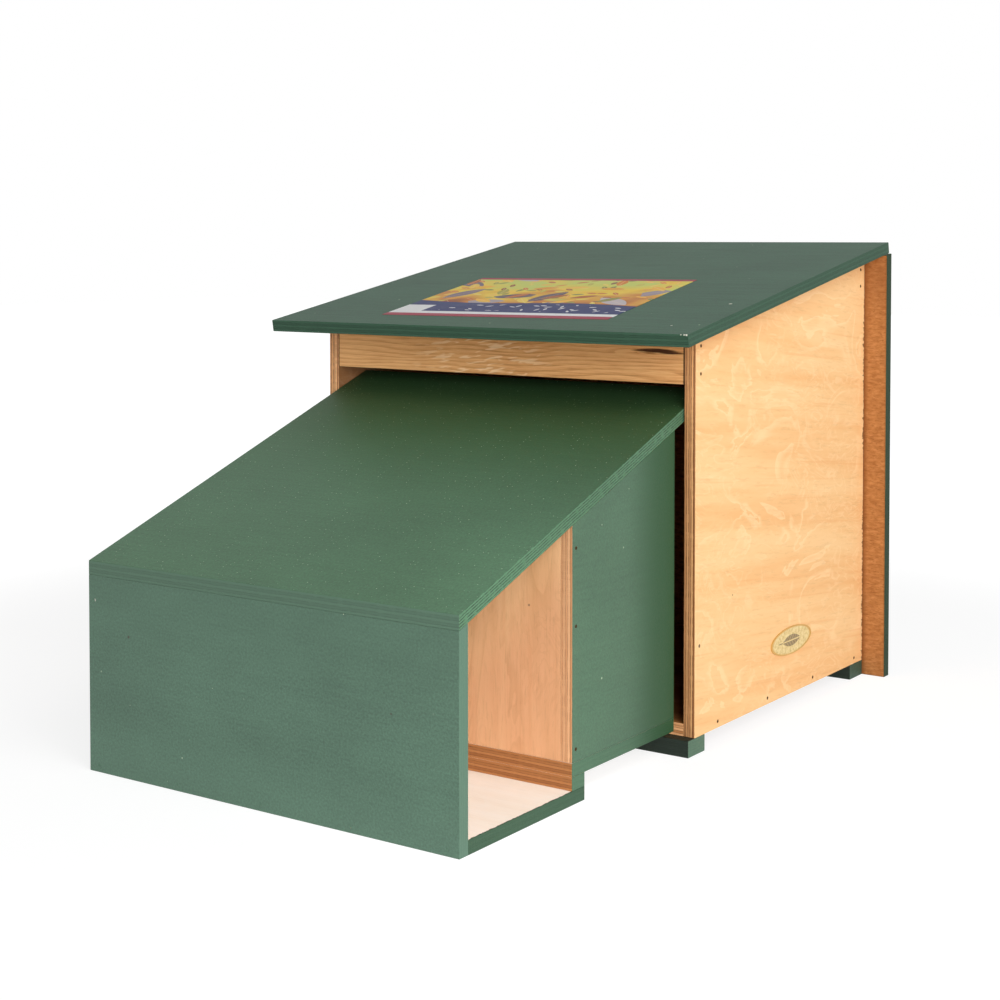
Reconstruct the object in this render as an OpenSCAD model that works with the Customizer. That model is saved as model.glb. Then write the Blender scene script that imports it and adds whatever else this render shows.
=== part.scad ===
// Hedgehog house: a plywood nest box under a sloping lid, with a porch that draws out of its open
// front like a drawer. Millimetres, +Z up, +Y to the back. The origin lies on the ground under the
// middle of the whole object.

/* [Boards] */
// Thickness of every plywood board
board_t = 12; // [10:0.5:16]

/* [House] */
// Width over the two side boards
house_w = 440; // [400:5:500]
// Depth of the side boards
house_d = 382; // [340:2:440]
// Height of the lid's underside above the front edges of the side boards
house_h = 394; // [370:2:440]
// Slope of the lid in degrees
lid_angle = 10.2; // [8:0.2:14]
// Reach of the back board past each side board
back_wing = 26; // [16:1:40]
// Gap between the back board and the lid
back_gap = 1.3; // [0.5:0.1:3]

/* [Rails and feet] */
// Thickness of the rails between the side boards
rail_t = 20; // [16:1:28]
// Height of the front face of each rail
rail_h = 49; // [46:1:52]
// Height of the feet
foot_h = 16; // [14:1:22]
// Depth of the feet, front to back
foot_d = 32; // [28:1:44]
// Part of the front foot that stands out in front of the house
foot_out = 12; // [6:1:14]

/* [Lid] */
// Overhang of the lid past each side board
lid_side = 26; // [12:1:40]
// Overhang of the lid in front of the side boards
lid_front = 60; // [30:1:80]
// Reach of the lid over the back board
lid_back = 6; // [2:0.5:10]
// Gap between the loose lid and the boards it lies on
lid_gap = 0.2; // [0.1:0.05:0.5]
// Width of the printed sheet on the lid
sheet_w = 264; // [200:2:300]
// Length of the printed sheet, up the slope
sheet_l = 189; // [140:1:210]
// Thickness of the printed sheet
sheet_t = 0.3; // [0.2:0.05:0.5]
// Distance of the sheet's centre from the lid's front edge, up the slope
sheet_in = 139; // [125:1:160]
// Distance of the sheet's centre to the left of the middle
sheet_left = 2; // [0:1:10]
// Turn of the sheet on the lid in degrees
sheet_turn = 1.8; // [0:0.2:4]

/* [Badge] */
// Length of the oval badge on the right side board
badge_l = 92; // [70:1:110]
// Height of the badge
badge_h = 28; // [20:1:36]
// Thickness of the badge's plate
badge_t = 0.8; // [0.5:0.1:1.5]
// Width of the badge's raised rim
badge_rim = 1.6; // [1:0.1:2.5]
// Height of the rim above the plate
badge_rim_t = 0.3; // [0.2:0.05:0.6]
// Distance of the badge's centre behind the front edge of the side board
badge_in = 203; // [180:1:230]
// Height of the badge's centre above the ground
badge_up = 71; // [60:1:90]

/* [Porch] */
// Depth of the porch walls
porch_d = 337; // [320:1:360]
// Gap that the porch stands short of its home position against the house floor
porch_short = 15; // [4:1:20]
// Gap between a porch wall and the side board beside it
porch_side_gap = 1.5; // [0.5:0.1:3]
// Slope of the porch roof in degrees
porch_angle = 20.46; // [16:0.02:23]
// Length of the roof that runs on behind the porch walls
roof_tongue = 59; // [40:1:70]
// Gap between the top of the roof's back end and the front rail above it
tongue_gap = 6.5; // [3:0.5:15]
// Width of the entrance between the front wall and the right wall
entrance_w = 150; // [130:1:160]
// Width of the doorway beside the partition
doorway_w = 130; // [110:1:150]
// Height of the batten under the front edge of the inner floor
cleat_h = 12; // [12:0.5:16]
// Depth of the batten, front to back
cleat_d = 20; // [18:1:28]

/* [Nails] */
// Length of a nail under its head
nail_len = 21; // [16:0.5:21]
// Radius of a nail's shank
nail_r = 0.9; // [0.7:0.1:1]
// Radius of a nail's head
nail_head_r = 1.5; // [1.2:0.1:1.8]
// Thickness of a nail's head
nail_head_t = 0.8; // [0.5:0.1:1]
// Depth of a nail's head below the wood's face
nail_sink = 0.2; // [0.1:0.1:0.5]
// Clearance all round a nail in its hole
nail_fit = 0.05; // [0.02:0.01:0.1]
// Spacing that a row of nails comes close to
nail_pitch = 105; // [70:5:140]
// Distance from a corner to the first nail of a row
nail_inset = 46; // [40:1:60]
// Distance of the floor's last side nail from the back edge
nail_inset_back = 21; // [20:1:40]
// Depth of the upper rail nails below the lid
rail_nail_down = 15; // [12:1:18]
// Spacing of the two nails in the front rail
front_rail_nail_gap = 26; // [15:1:28]
// Spacing of the two nails in the back rail
back_rail_nail_gap = 18; // [12:1:26]
// Height of the lowest partition nail above the inner floor
wall_nail_up = 11; // [8:1:20]
// Depth of the highest partition nail below the roof
wall_nail_down = 22; // [10:1:30]

/* [Hidden] */
$fn = 48;

// Extra length that a cut runs on past the face it opens
past = 1;
// Room left in front of a nail's point
nail_room = 0.5;

// Lengths along Y are measured from the front edges of the side boards, negative to the front
porch_front_y = -(porch_d + porch_short);
back_y = house_d + board_t;
house_y = -(porch_front_y + back_y) / 2;

inner_x = house_w / 2 - board_t;
wing_x = house_w / 2 + back_wing;
lid_x = house_w / 2 + lid_side;
house_floor_top = foot_h + board_t;

porch_x = inner_x - porch_side_gap;
porch_in_x = porch_x - board_t;
wall_mid_x = porch_x - board_t / 2;
front_in_y = porch_front_y + board_t;
entrance_back_y = front_in_y + entrance_w;
partition_back_y = entrance_back_y + board_t;
partition_mid_y = entrance_back_y + board_t / 2;
cleat_back_y = entrance_back_y + cleat_d;
porch_back_y = -porch_short;
inner_floor_z = board_t + cleat_h;
inner_floor_top = inner_floor_z + board_t;
doorway_x = doorway_w - porch_in_x;

// The roof's back end passes under the front rail, which sets the height of the porch
roof_end_y = porch_back_y + roof_tongue;
roof_low_end_y = roof_end_y + board_t * sin(porch_angle);
roof_rise = board_t / cos(porch_angle);
roof_end_top = house_h - rail_h - tongue_gap;
porch_h = roof_end_top - roof_rise - tan(porch_angle) * (roof_end_y - porch_front_y);

bare = "BurlyWood";
pale = "Bisque";
green = "DarkSlateGray";
steel = "DimGray";

function lid_under(y) = house_h + tan(lid_angle) * y;
function roof_under(y) = porch_h + tan(porch_angle) * (y - porch_front_y);
function row(first, last) =
    let (steps = max(1, round((last - first) / nail_pitch)))
    [for (i = [0 : steps]) first + (last - first) * i / steps];

// A board between two planes across the object, from its outline seen from the right
module slab(left_x, right_x, outline)
    translate([left_x, 0, 0])
    rotate([90, 0, 90])
    linear_extrude(right_x - left_x)
    polygon(outline);

module block(low, high)
    translate(low)
    cube(high - low);

module placed()
    translate([0, house_y, 0])
    children();

// Nail along +Z, with the wood's face at z = 0
module nail() {
    translate([0, 0, nail_sink])
        cylinder(h = nail_head_t, r = nail_head_r);
    translate([0, 0, nail_sink])
        cylinder(h = nail_head_t + nail_len, r = nail_r);
}

module nail_hole() {
    translate([0, 0, -past])
        cylinder(h = past + nail_sink + nail_head_t, r = nail_head_r + nail_fit);
    cylinder(h = nail_sink + nail_head_t + nail_len + nail_room, r = nail_r + nail_fit);
}

// The turns that point a nail into the wood from each face
from_left = [0, 90, 0];
from_right = [0, -90, 0];
from_front = [-90, 0, 0];
from_back = [90, 0, 0];
from_top = [180, 0, 0];
from_below = [0, 0, 0];

module at_spots(spots, turn)
    for (spot = spots)
        translate(spot)
        rotate(turn)
        children();

// Nail places in the house
side_floor_ys = row(nail_inset, house_d - nail_inset_back);
front_rail_mid_y = rail_t / 2;
back_rail_mid_y = house_d - rail_t / 2;
front_rail_nail_z = lid_under(front_rail_mid_y) - rail_nail_down;
back_rail_nail_z = lid_under(back_rail_mid_y) - rail_nail_down;
house_floor_mid_z = foot_h + board_t / 2;
back_row_xs = row(-inner_x + nail_inset, inner_x - nail_inset);
back_rail_back_z = lid_under(house_d) - rail_h / 2;
side_edge_x = house_w / 2 - board_t / 2;
back_row_zs = row(house_floor_top + nail_inset, house_h - nail_inset);
front_foot_nail_y = (foot_d - foot_out) / 2;
back_foot_nail_y = house_d - foot_d / 2;

module side_floor_spots(x, turn)
    at_spots([for (y = side_floor_ys) [x, y, house_floor_mid_z]], turn)
    children();

module front_rail_spots(x, turn)
    at_spots([for (down = [0, front_rail_nail_gap]) [x, front_rail_mid_y, front_rail_nail_z - down]], turn)
    children();

module back_rail_spots(x, turn)
    at_spots([for (down = [0, back_rail_nail_gap]) [x, back_rail_mid_y, back_rail_nail_z - down]], turn)
    children();

module side_spots(x, turn) {
    side_floor_spots(x, turn) children();
    front_rail_spots(x, turn) children();
    back_rail_spots(x, turn) children();
}

module back_edge_spots(x)
    at_spots([for (z = back_row_zs) [x, back_y, z]], from_back)
    children();

module back_floor_spots()
    at_spots([for (x = back_row_xs) [x, back_y, house_floor_mid_z]], from_back)
    children();

module back_top_spots()
    at_spots([for (x = back_row_xs) [x, back_y, back_rail_back_z]], from_back)
    children();

module foot_spots(y)
    at_spots([for (x = back_row_xs) [x, y, house_floor_top]], from_top)
    children();

// Nail places in the porch
porch_row_xs = row(-porch_x + board_t, porch_x - board_t);
front_edge_zs = row(board_t + nail_inset, porch_h - nail_inset / 2);
corridor_nail_ys = row(front_in_y + nail_inset / 2, entrance_back_y - nail_inset / 2);
inner_nail_ys = row(cleat_back_y + nail_inset / 2, porch_back_y - nail_inset / 2);
cleat_mid_y = entrance_back_y + cleat_d / 2;
cleat_top_nail_y = (partition_back_y + cleat_back_y) / 2;
cleat_low_xs = row(-porch_in_x + nail_inset, porch_in_x - nail_inset);
cleat_top_xs = row(-porch_in_x + 2 * nail_inset, porch_in_x - 2 * nail_inset);
partition_low_xs = row(doorway_x + nail_inset / 2, porch_in_x - nail_inset / 2);
partition_zs = [
    inner_floor_top + wall_nail_up,
    inner_floor_top + wall_nail_up + nail_pitch,
    roof_under(partition_mid_y) - wall_nail_down
];

module front_floor_spots()
    at_spots([for (x = porch_row_xs) [x, porch_front_y, board_t / 2]], from_front)
    children();

module front_edge_spots()
    at_spots([for (z = front_edge_zs) [-wall_mid_x, porch_front_y, z]], from_front)
    children();

module partition_side_spots()
    at_spots([for (z = partition_zs) [porch_x, partition_mid_y, z]], from_right)
    children();

module partition_low_spots()
    at_spots([for (x = partition_low_xs) [x, partition_mid_y, inner_floor_z]], from_below)
    children();

module inner_wall_spots(x)
    at_spots([for (y = inner_nail_ys) [x, y, inner_floor_z]], from_below)
    children();

module corridor_wall_spots()
    at_spots([for (y = corridor_nail_ys) [-wall_mid_x, y, 0]], from_below)
    children();

module cleat_low_spots()
    at_spots([for (x = cleat_low_xs) [x, cleat_mid_y, 0]], from_below)
    children();

module cleat_top_spots()
    at_spots([for (x = cleat_top_xs) [x, cleat_top_nail_y, inner_floor_top]], from_top)
    children();

module house_floor()
    placed()
    color(pale)
    difference() {
        block([-inner_x, 0, foot_h], [inner_x, house_d, house_floor_top]);
        side_floor_spots(-house_w / 2, from_left) nail_hole();
        side_floor_spots(house_w / 2, from_right) nail_hole();
        back_floor_spots() nail_hole();
        foot_spots(front_foot_nail_y) nail_hole();
        foot_spots(back_foot_nail_y) nail_hole();
    }

module side_board(left_x, face_x, turn)
    placed()
    color(bare)
    difference() {
        slab(left_x, left_x + board_t, [
            [0, foot_h],
            [house_d, foot_h],
            [house_d, lid_under(house_d)],
            [0, lid_under(0)]
        ]);
        side_spots(face_x, turn) nail_hole();
        back_edge_spots(left_x + board_t / 2) nail_hole();
    }

module side_left()
    side_board(-house_w / 2, -house_w / 2, from_left);

module side_right()
    side_board(inner_x, house_w / 2, from_right);

// A rail between the side boards, with its top planed to the lid's slope
module rail(front_y)
    slab(-inner_x, inner_x, [
        [front_y, lid_under(front_y) - rail_h],
        [front_y + rail_t, lid_under(front_y) - rail_h],
        [front_y + rail_t, lid_under(front_y + rail_t)],
        [front_y, lid_under(front_y)]
    ]);

module front_rail()
    placed()
    color(bare)
    difference() {
        rail(0);
        front_rail_spots(-house_w / 2, from_left) nail_hole();
        front_rail_spots(house_w / 2, from_right) nail_hole();
    }

module back_rail()
    placed()
    color(bare)
    difference() {
        rail(house_d - rail_t);
        back_rail_spots(-house_w / 2, from_left) nail_hole();
        back_rail_spots(house_w / 2, from_right) nail_hole();
        back_top_spots() nail_hole();
    }

module back_board()
    placed()
    color(green)
    difference() {
        slab(-wing_x, wing_x, [
            [house_d, 0],
            [back_y, 0],
            [back_y, lid_under(back_y) - back_gap],
            [house_d, lid_under(house_d) - back_gap]
        ]);
        back_edge_spots(-side_edge_x) nail_hole();
        back_edge_spots(side_edge_x) nail_hole();
        back_floor_spots() nail_hole();
        back_top_spots() nail_hole();
    }

module foot(front_y, nail_y)
    placed()
    color(green)
    difference() {
        block([-house_w / 2, front_y, 0], [house_w / 2, front_y + foot_d, foot_h]);
        foot_spots(nail_y) nail_hole();
    }

module front_foot()
    foot(-foot_out, front_foot_nail_y);

module back_foot()
    foot(house_d - foot_d, back_foot_nail_y);

module oval(length, height)
    polygon([for (a = [0 : 7.5 : 352.5]) [length / 2 * cos(a), height / 2 * sin(a)]]);

module side_badge()
    placed()
    color("Khaki")
    translate([house_w / 2, badge_in, badge_up])
    rotate([90, 0, 90])
    difference() {
        linear_extrude(badge_t + badge_rim_t) oval(badge_l, badge_h);
        translate([0, 0, badge_t])
            linear_extrude(badge_rim_t + past)
            oval(badge_l - 2 * badge_rim, badge_h - 2 * badge_rim);
    }

module house_nails()
    placed()
    color(steel) {
        side_spots(-house_w / 2, from_left) nail();
        side_spots(house_w / 2, from_right) nail();
        back_edge_spots(-side_edge_x) nail();
        back_edge_spots(side_edge_x) nail();
        back_floor_spots() nail();
        back_top_spots() nail();
        foot_spots(front_foot_nail_y) nail();
        foot_spots(back_foot_nail_y) nail();
    }

// The lid's own frame: its underside at z = 0, with y up the slope from the house's front edge
module on_lid()
    placed()
    translate([0, 0, house_h])
    rotate([lid_angle, 0, 0])
    translate([0, 0, lid_gap])
    children();

lid_front_run = -lid_front / cos(lid_angle);
lid_back_run = (house_d + lid_back) / cos(lid_angle);

module lid()
    on_lid()
    color(green)
    block([-lid_x, lid_front_run, 0], [lid_x, lid_back_run, board_t]);

module lid_sheet()
    on_lid()
    color("White")
    translate([-sheet_left, lid_front_run + sheet_in, board_t])
    rotate([0, 0, sheet_turn])
    translate([-sheet_w / 2, -sheet_l / 2, 0])
    cube([sheet_w, sheet_l, sheet_t]);

module porch_front()
    placed()
    color(green)
    difference() {
        slab(-porch_x, porch_x, [
            [porch_front_y, 0],
            [front_in_y, 0],
            [front_in_y, roof_under(front_in_y)],
            [porch_front_y, porch_h]
        ]);
        front_floor_spots() nail_hole();
        front_edge_spots() nail_hole();
    }

// The left wall stands on the corridor floor in front and on the raised inner floor behind
module porch_left()
    placed()
    color(green)
    difference() {
        slab(-porch_x, -porch_in_x, [
            [front_in_y, board_t],
            [entrance_back_y, board_t],
            [entrance_back_y, inner_floor_top],
            [porch_back_y, inner_floor_top],
            [porch_back_y, roof_under(porch_back_y)],
            [front_in_y, roof_under(front_in_y)]
        ]);
        front_edge_spots() nail_hole();
        inner_wall_spots(-wall_mid_x) nail_hole();
        corridor_wall_spots() nail_hole();
    }

module porch_right()
    placed()
    color(green)
    difference() {
        slab(porch_in_x, porch_x, [
            [entrance_back_y, inner_floor_top],
            [porch_back_y, inner_floor_top],
            [porch_back_y, roof_under(porch_back_y)],
            [entrance_back_y, roof_under(entrance_back_y)]
        ]);
        inner_wall_spots(wall_mid_x) nail_hole();
        partition_side_spots() nail_hole();
    }

// The roof's front end is cut upright, flush with the front wall, and its back end is cut square
module porch_roof()
    placed()
    color(green)
    slab(-porch_x, porch_x, [
        [porch_front_y, porch_h],
        [roof_low_end_y, roof_under(roof_low_end_y)],
        [roof_end_y, roof_end_top],
        [porch_front_y, porch_h + roof_rise]
    ]);

module porch_floor()
    placed()
    color(pale)
    difference() {
        block([-porch_x, entrance_back_y, inner_floor_z], [porch_x, porch_back_y, inner_floor_top]);
        inner_wall_spots(-wall_mid_x) nail_hole();
        inner_wall_spots(wall_mid_x) nail_hole();
        partition_low_spots() nail_hole();
        cleat_top_spots() nail_hole();
    }

module corridor_floor()
    placed()
    color(pale)
    difference() {
        block([-porch_x, front_in_y, 0], [porch_x, cleat_back_y, board_t]);
        front_floor_spots() nail_hole();
        corridor_wall_spots() nail_hole();
        cleat_low_spots() nail_hole();
    }

module floor_cleat()
    placed()
    color(bare)
    difference() {
        block([-porch_x, entrance_back_y, board_t], [porch_x, cleat_back_y, inner_floor_z]);
        cleat_low_spots() nail_hole();
        cleat_top_spots() nail_hole();
    }

module partition()
    placed()
    color(bare)
    difference() {
        slab(doorway_x, porch_in_x, [
            [entrance_back_y, inner_floor_top],
            [partition_back_y, inner_floor_top],
            [partition_back_y, roof_under(partition_back_y)],
            [entrance_back_y, roof_under(entrance_back_y)]
        ]);
        partition_side_spots() nail_hole();
        partition_low_spots() nail_hole();
    }

module porch_nails()
    placed()
    color(steel) {
        front_floor_spots() nail();
        front_edge_spots() nail();
        partition_side_spots() nail();
        partition_low_spots() nail();
        inner_wall_spots(-wall_mid_x) nail();
        inner_wall_spots(wall_mid_x) nail();
        corridor_wall_spots() nail();
        cleat_low_spots() nail();
        cleat_top_spots() nail();
    }

house_floor();
side_left();
side_right();
front_rail();
back_rail();
back_board();
front_foot();
back_foot();
side_badge();
house_nails();
lid();
lid_sheet();
porch_front();
porch_left();
porch_right();
porch_roof();
porch_floor();
corridor_floor();
floor_cleat();
partition();
porch_nails();
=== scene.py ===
# %% [markdown]
# # A hedgehog house of plywood
# The house is a box of plain plywood with a green lid. A green porch stands in its open front,
# and its side entrance keeps cats and foxes from reaching the nest.
# The construction model already has every board at its true size, so this script adds the looks:
# the wood, the paint, the printed sheet, the light and the camera.

# %% Load the construction model
import math

import bpy
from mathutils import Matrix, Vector

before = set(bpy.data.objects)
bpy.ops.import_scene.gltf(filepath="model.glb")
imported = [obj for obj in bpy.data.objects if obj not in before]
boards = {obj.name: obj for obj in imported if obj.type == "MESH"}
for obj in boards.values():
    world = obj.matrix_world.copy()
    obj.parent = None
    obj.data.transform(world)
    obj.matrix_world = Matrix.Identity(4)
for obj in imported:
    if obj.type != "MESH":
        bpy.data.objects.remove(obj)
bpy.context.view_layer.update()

# %% [markdown]
# ## The camera
# The picture was taken from the right, a little above the lid's front edge.
# Its upright edges stay parallel, which happens only when the camera is held almost level.
# A level camera would put the house too low in the picture, so the lens is shifted instead,
# as an architectural photographer does it.

# %% Camera
VIEWPOINT = (1.02198, -1.49026, 0.48186)
DOWNWARD = 0.035
SIDEWAYS = 0.6078

lens = bpy.data.cameras.new("view")
lens.sensor_width = 36.0
lens.lens = 65.09
lens.shift_y = -0.200
camera = bpy.data.objects.new("view", lens)
camera.location = VIEWPOINT
camera.rotation_euler = (math.pi / 2 - DOWNWARD, 0.0, SIDEWAYS)
bpy.context.scene.collection.objects.link(camera)
bpy.context.scene.camera = camera
bpy.context.scene.view_settings.view_transform = "Standard"
print("camera stands", round(camera.location.length, 2), "m from the middle")

# %% [markdown]
# ## Nodes written as formulas
# A procedural material is a chain of small nodes. Written out one by one they fill pages,
# so this class adds a node and hands back its output, and a finish then reads like arithmetic.
# It takes anything that owns nodes: a material, or later the world.

# %% Arithmetic of nodes
class Formula:
    def __init__(self, owner):
        owner.use_nodes = True
        self.owner = owner
        self.tree = owner.node_tree
        self.tree.nodes.clear()

    def node(self, kind, values=(), out=0, **settings):
        made = self.tree.nodes.new("ShaderNode" + kind)
        for name, setting in settings.items():
            setattr(made, name, setting)
        pairs = values.items() if isinstance(values, dict) else enumerate(values)
        for key, value in pairs:
            if isinstance(value, bpy.types.NodeSocket):
                self.tree.links.new(value, made.inputs[key])
            elif value is not None:
                made.inputs[key].default_value = value
        return made.outputs[out] if made.outputs else made

    def math(self, operation, *values):
        return self.node("Math", values, operation=operation)

    def sum(self, *values):
        total = values[0]
        for value in values[1:]:
            total = self.math("ADD", total, value)
        return total

    def times(self, *values):
        total = values[0]
        for value in values[1:]:
            total = self.math("MULTIPLY", total, value)
        return total

    def larger(self, one, other):
        return self.math("MAXIMUM", one, other)

    def rest(self, share):
        """What a share leaves of the whole."""
        return self.math("SUBTRACT", 1.0, share)

    def away(self, value, line=None):
        """How far a value lies from a line, or from zero."""
        return self.math("ABSOLUTE", value if line is None else self.sum(value, -line))

    def rise(self, value, low, high):
        """A soft step: 0 at low, 1 at high. With high below low it falls."""
        names = {"Value": value, "From Min": low, "From Max": high}
        return self.node("MapRange", names, interpolation_type="SMOOTHSTEP")


print("a formula knows", len([n for n in dir(Formula) if n[0] != "_"]), "moves")

# %% [markdown]
# ## Places, patterns and colours
# Every pattern here is tied to the point's own place on the object, in metres.
# A texture picture would need each board unwrapped, while a pattern in space fits any board,
# stays sharp close up, and moves with the piece when the porch is drawn out.

# %% Colour and surface nodes
def scaled(colour, factor):
    return tuple(part * factor for part in colour)


class Finish(Formula):
    def place(self):
        return self.node("TexCoord", out=3)

    def facing(self):
        return self.node("TexCoord", out=1)

    def reach(self, vector, axis):
        """How far a point or a direction reaches along an axis."""
        return self.node("VectorMath", (vector, tuple(axis)), out=1, operation="DOT_PRODUCT")

    def point(self, x=0.0, y=0.0, z=0.0):
        return self.node("CombineXYZ", (x, y, z))

    def noise(self, where, detail=2.0, rough=0.5, twist=0.0):
        names = {"Vector": where, "Scale": 1.0, "Detail": detail}
        names.update({"Roughness": rough, "Distortion": twist})
        return self.node("TexNoise", names)

    def cells(self, where, **values):
        """Flat Voronoi cells: distance to the nearest middle, its random colour, and its place."""
        names = {"Vector": where, "Scale": 1.0, **values}
        return self.node("TexVoronoi", names, voronoi_dimensions="2D").node.outputs

    def blend(self, share, one, other, **settings):
        pair = [c if isinstance(c, bpy.types.NodeSocket) else (*c, 1.0) for c in (one, other)]
        return self.node("Mix", {0: share, 6: pair[0], 7: pair[1]}, out=2, data_type="RGBA", **settings)

    def tint(self, value, *stops):
        ramp = self.node("ValToRGB", (value,)).node
        while len(ramp.color_ramp.elements) < len(stops):
            ramp.color_ramp.elements.new(0.5)
        for element, (place, colour) in zip(ramp.color_ramp.elements, stops):
            element.position = place
            element.color = (*colour, 1.0)
        return ramp.outputs[0]

    def surface(self, colour, rough, height, bump, shine):
        normal = self.node("Bump", {"Height": height, "Distance": bump, "Strength": 1.0})
        values = {"Base Color": colour, "Roughness": rough, "Normal": normal, "Specular IOR Level": shine}
        self.node("OutputMaterial", (self.node("BsdfPrincipled", values),))
        return self.owner


def new_finish(name):
    return Finish(bpy.data.materials.new(name))


def put_on(name, material):
    boards[name].material_slots[0].material = material


print("a finish knows", len([n for n in dir(Finish) if n[0] != "_"]), "moves")

# %% [markdown]
# ## How a board lies
# Plywood looks different along its grain, across it and through its thickness.
# Each board therefore needs its own two directions: the way its face grain runs,
# and the way its thickness points. On the two sloping boards both are tilted with the slope,
# and the veneer of the right side was glued on a little out of line, so its grain sinks to the back.

# %% Directions of every board
X, Y, Z = Vector((1, 0, 0)), Vector((0, 1, 0)), Vector((0, 0, 1))
LID_ANGLE = math.radians(10.2)
PORCH_ANGLE = math.radians(20.46)
ASKEW = math.radians(6)
LID_UP = Vector((0, -math.sin(LID_ANGLE), math.cos(LID_ANGLE)))
LID_BACK = LID_UP.cross(X)
PORCH_UP = Vector((0, -math.sin(PORCH_ANGLE), math.cos(PORCH_ANGLE)))
SINKING = Vector((0, math.cos(ASKEW), -math.sin(ASKEW)))


def extent(name, direction):
    reach = [v.co.dot(direction) for v in boards[name].data.vertices]
    return min(reach), max(reach)


class Lie:
    """Where a point of a board is: along the grain, across it, and how deep in the board."""

    def __init__(self, f, name, grain, up):
        self.f = f
        low, high = extent(name, up)
        self.thick = high - low
        place = f.place()
        self.facing = f.facing()
        self.along = f.reach(place, grain)
        self.across = f.reach(place, up.cross(grain))
        self.depth = f.sum(f.reach(place, up), -low)
        self.run = f.sum(self.along, self.across)
        self.edge = f.rise(f.away(f.reach(self.facing, up)), 0.75, 0.65)
        self.end = f.rise(f.away(f.reach(self.facing, grain)), 0.65, 0.75)
        self.start = sum(ord(letter) for letter in name) * 0.37

    def noise(self, along, across, layer, detail=2.0, rough=0.5, twist=0.0):
        """Noise on the face. The first two numbers say how many waves fit in a metre."""
        f = self.f
        where = f.point(f.times(self.along, along), f.times(self.across, across), self.start + layer)
        return f.noise(where, detail, rough, twist)


print("lid slopes", round(math.degrees(LID_ANGLE), 1), "and porch", round(math.degrees(PORCH_ANGLE), 1))

# %% [markdown]
# ## Veneer
# The face of plywood is a thin sheet peeled off a turning log.
# The knife wanders through the year rings, so they show as broad bands and curling outlines,
# while the wood's own fibres stay fine and straight.
# The outlines are made first. They are the contour lines of a soft noise, like the height lines
# of a map. Each line fades on one side only, as a cut ring does, and broad and small figures
# take turns. Drawn curves would look neater, but no two boards of real veneer are alike.

# %% Outlines of the year rings
def flame(f, height):
    ring = f.math("FRACT", height)
    return f.times(f.rise(ring, 0.60, 0.95), f.rise(ring, 1.0, 0.96))


def outlines(f, lie, curl, rings, stretch):
    hill = lie.noise(9.0 / stretch, 15.0, layer=3, detail=4.0, twist=1.1)
    bump = lie.noise(14.0, 30.0, layer=4, detail=3.0, twist=1.6)
    broad = f.rise(lie.noise(11.0, 17.0, layer=8, detail=3.0), 0.38, 0.6)
    broad_lines = f.times(flame(f, f.times(hill, rings)), broad, curl)
    small_lines = f.times(flame(f, f.times(bump, rings * 1.4)), f.rest(broad), curl * 0.6)
    return f.sum(broad_lines, small_lines)


print("outlines ready")

# %% [markdown]
# ## Layers of the veneer
# The rest is laid over each other like glazes. Noise stretched along the grain gives broad bands
# in three tones, the outlines come over them, then thin rusty streaks, and the fine pores last.
# The pores' noise is handed back too, because the relief and the gloss follow the same fibres.

# %% Veneer recipe
def veneer(f, lie, dark, middle, light, bands=(2.4, 34.0), curl=0.4, rings=6.0, stretch=1.0, outline=None,
           streaks=0.0, fibres=0.35, fibre_size=(55.0, 900.0)):
    band = lie.noise(*bands, layer=0, detail=5.0, rough=0.62, twist=0.25)
    colour = f.tint(band, (0.3, dark), (0.5, middle), (0.7, light))
    outline = outline or tuple(min(1.0, part * 1.05 + 0.08) for part in light)
    colour = f.blend(outlines(f, lie, curl, rings, stretch), colour, outline)
    if streaks:
        thin = f.rise(lie.noise(5.0, 230.0, layer=6, twist=0.2), 0.60, 0.74)
        rust = (dark[0] * 0.92, dark[1] * 0.72, dark[2] * 0.6)
        colour = f.blend(f.times(thin, streaks), colour, rust)
    fibre = lie.noise(*fibre_size, layer=5, detail=3.0, rough=0.65)
    pore = f.times(f.rise(fibre, 0.52, 0.72), fibres)
    return f.blend(pore, colour, scaled(dark, 0.7)), fibre


print("veneer ready")

# %% [markdown]
# ## Ply edges
# A sawn edge shows the sheets that the board is glued from.
# Every second sheet turns its fibre ends to the saw, so it is darker and rougher than its neighbours.
# A counter made from the depth numbers the sheets, and the rest of that division finds the glue lines.

# %% Ply recipe
SHEETS = 5


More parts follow.
